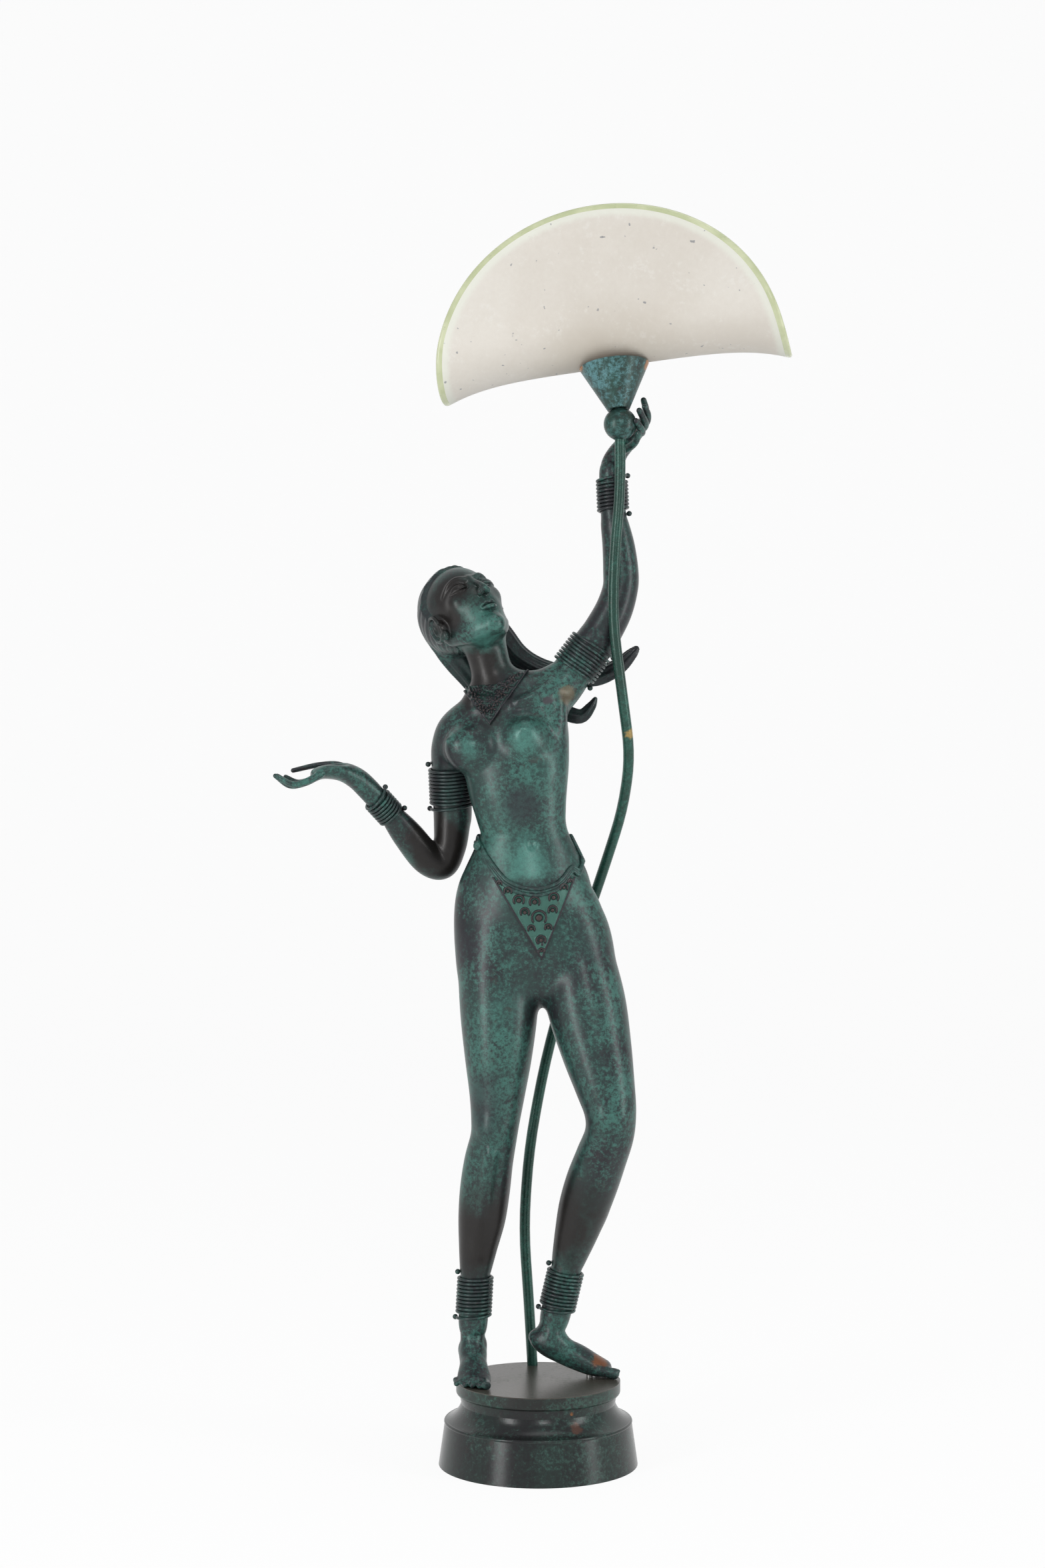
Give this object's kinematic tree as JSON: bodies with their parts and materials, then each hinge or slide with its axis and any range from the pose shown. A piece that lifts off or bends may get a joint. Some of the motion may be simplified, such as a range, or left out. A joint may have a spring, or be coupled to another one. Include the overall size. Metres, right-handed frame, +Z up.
{
  "type": "figural table lamp",
  "caption": "Table lamp: a bronze dancer on a round turned base holds up a curved tube with a cup and a wide folded shade of frosted glass.",
  "frame": {"origin": "centre of the flat underside of the felt pad, where the lamp stands on a table", "axes": "+Z up; -Y is the front, which the dancer's chest and face turn to; +X is the viewer's right, the side of the raised arm and the glass shade"},
  "size_m": [0.4766, 0.185, 1.1628],
  "materials": {
    "bronze_dark": "dark brown patina with green verdigris, rubbed soft gloss",
    "bronze_trim": "dark brown patina, rubbed bright on raised edges",
    "plinth_bronze": "worn brown patina, rubbed top",
    "socle_black": "near-black patina, polished",
    "stem_bronze": "brown-green patina, satin",
    "cup_bronze": "dark patina with pale blue-green blotches",
    "frosted_glass": "frosted off-white, pale green polished edge",
    "bulb_glass": "opal",
    "plain_brass": "satin, dulled",
    "steel": "zinc plated, satin",
    "bakelite": "dark brown, moulded",
    "felt": "dark green felt",
    "soft_seat": "rust-stained soft ring",
    "cable_cover": "braid-covered twin lead"
  },
  "bodies": {
    "lamp": {"socle": "socle_black", "figure_plinth": "plinth_bronze", "bottom_plate": "steel", "felt_pad": "felt", "plate_screws": "steel", "plinth_screws": "steel", "cable_bush": "bakelite", "terminal_block": "bakelite", "terminal_screws": "plain_brass", "foot_studs": "steel", "foot_washers": "steel", "foot_nuts": "steel", "standing_foot": "bronze_dark", "bent_foot": "bronze_dark", "standing_leg": "bronze_dark", "bent_leg": "bronze_dark", "torso": "bronze_dark", "open_arm": "bronze_dark", "raised_arm": "bronze_dark", "open_hand": "bronze_dark", "raised_hand": "bronze_dark", "head": "bronze_dark", "hair": "bronze_trim", "upper_hair_tail": "bronze_trim", "lower_hair_tail": "bronze_trim", "collar": "bronze_trim", "belt_cord": "bronze_trim", "loincloth": "bronze_trim", "open_arm_bangle": "bronze_trim", "raised_arm_bangle": "bronze_trim", "open_wrist_bangle": "bronze_trim", "raised_wrist_bangle": "bronze_trim", "standing_anklet": "bronze_trim", "bent_anklet": "bronze_trim", "stem_tube": "stem_bronze", "inner_lead": "cable_cover", "ball_knop": "stem_bronze", "nipple": "plain_brass"},
    "shade_carrier": {"cup": "cup_bronze", "lock_nut": "steel", "spacer_sleeve": "plain_brass", "lampholder": "bakelite", "thread_shell": "plain_brass", "holder_contact": "plain_brass", "lower_seat": "soft_seat", "glass_shade": "frosted_glass", "upper_washer": "soft_seat", "shade_ring": "plain_brass"},
    "bulb_body": {"bulb": "bulb_glass"}
  },
  "joints": [
    {"name": "shade_turn", "type": "hinge", "parent": "lamp", "child": "shade_carrier", "pos_m": [0.0755, -0.02, 0.963], "axis": [-0.0944, 0.1456, 0.9848], "range_deg": [-170, 170]},
    {"name": "bulb_out", "type": "slide", "parent": "shade_carrier", "child": "bulb_body", "axis": [-0.0944, 0.1456, 0.9848], "range_m": [0, 0.03]}
  ]
}
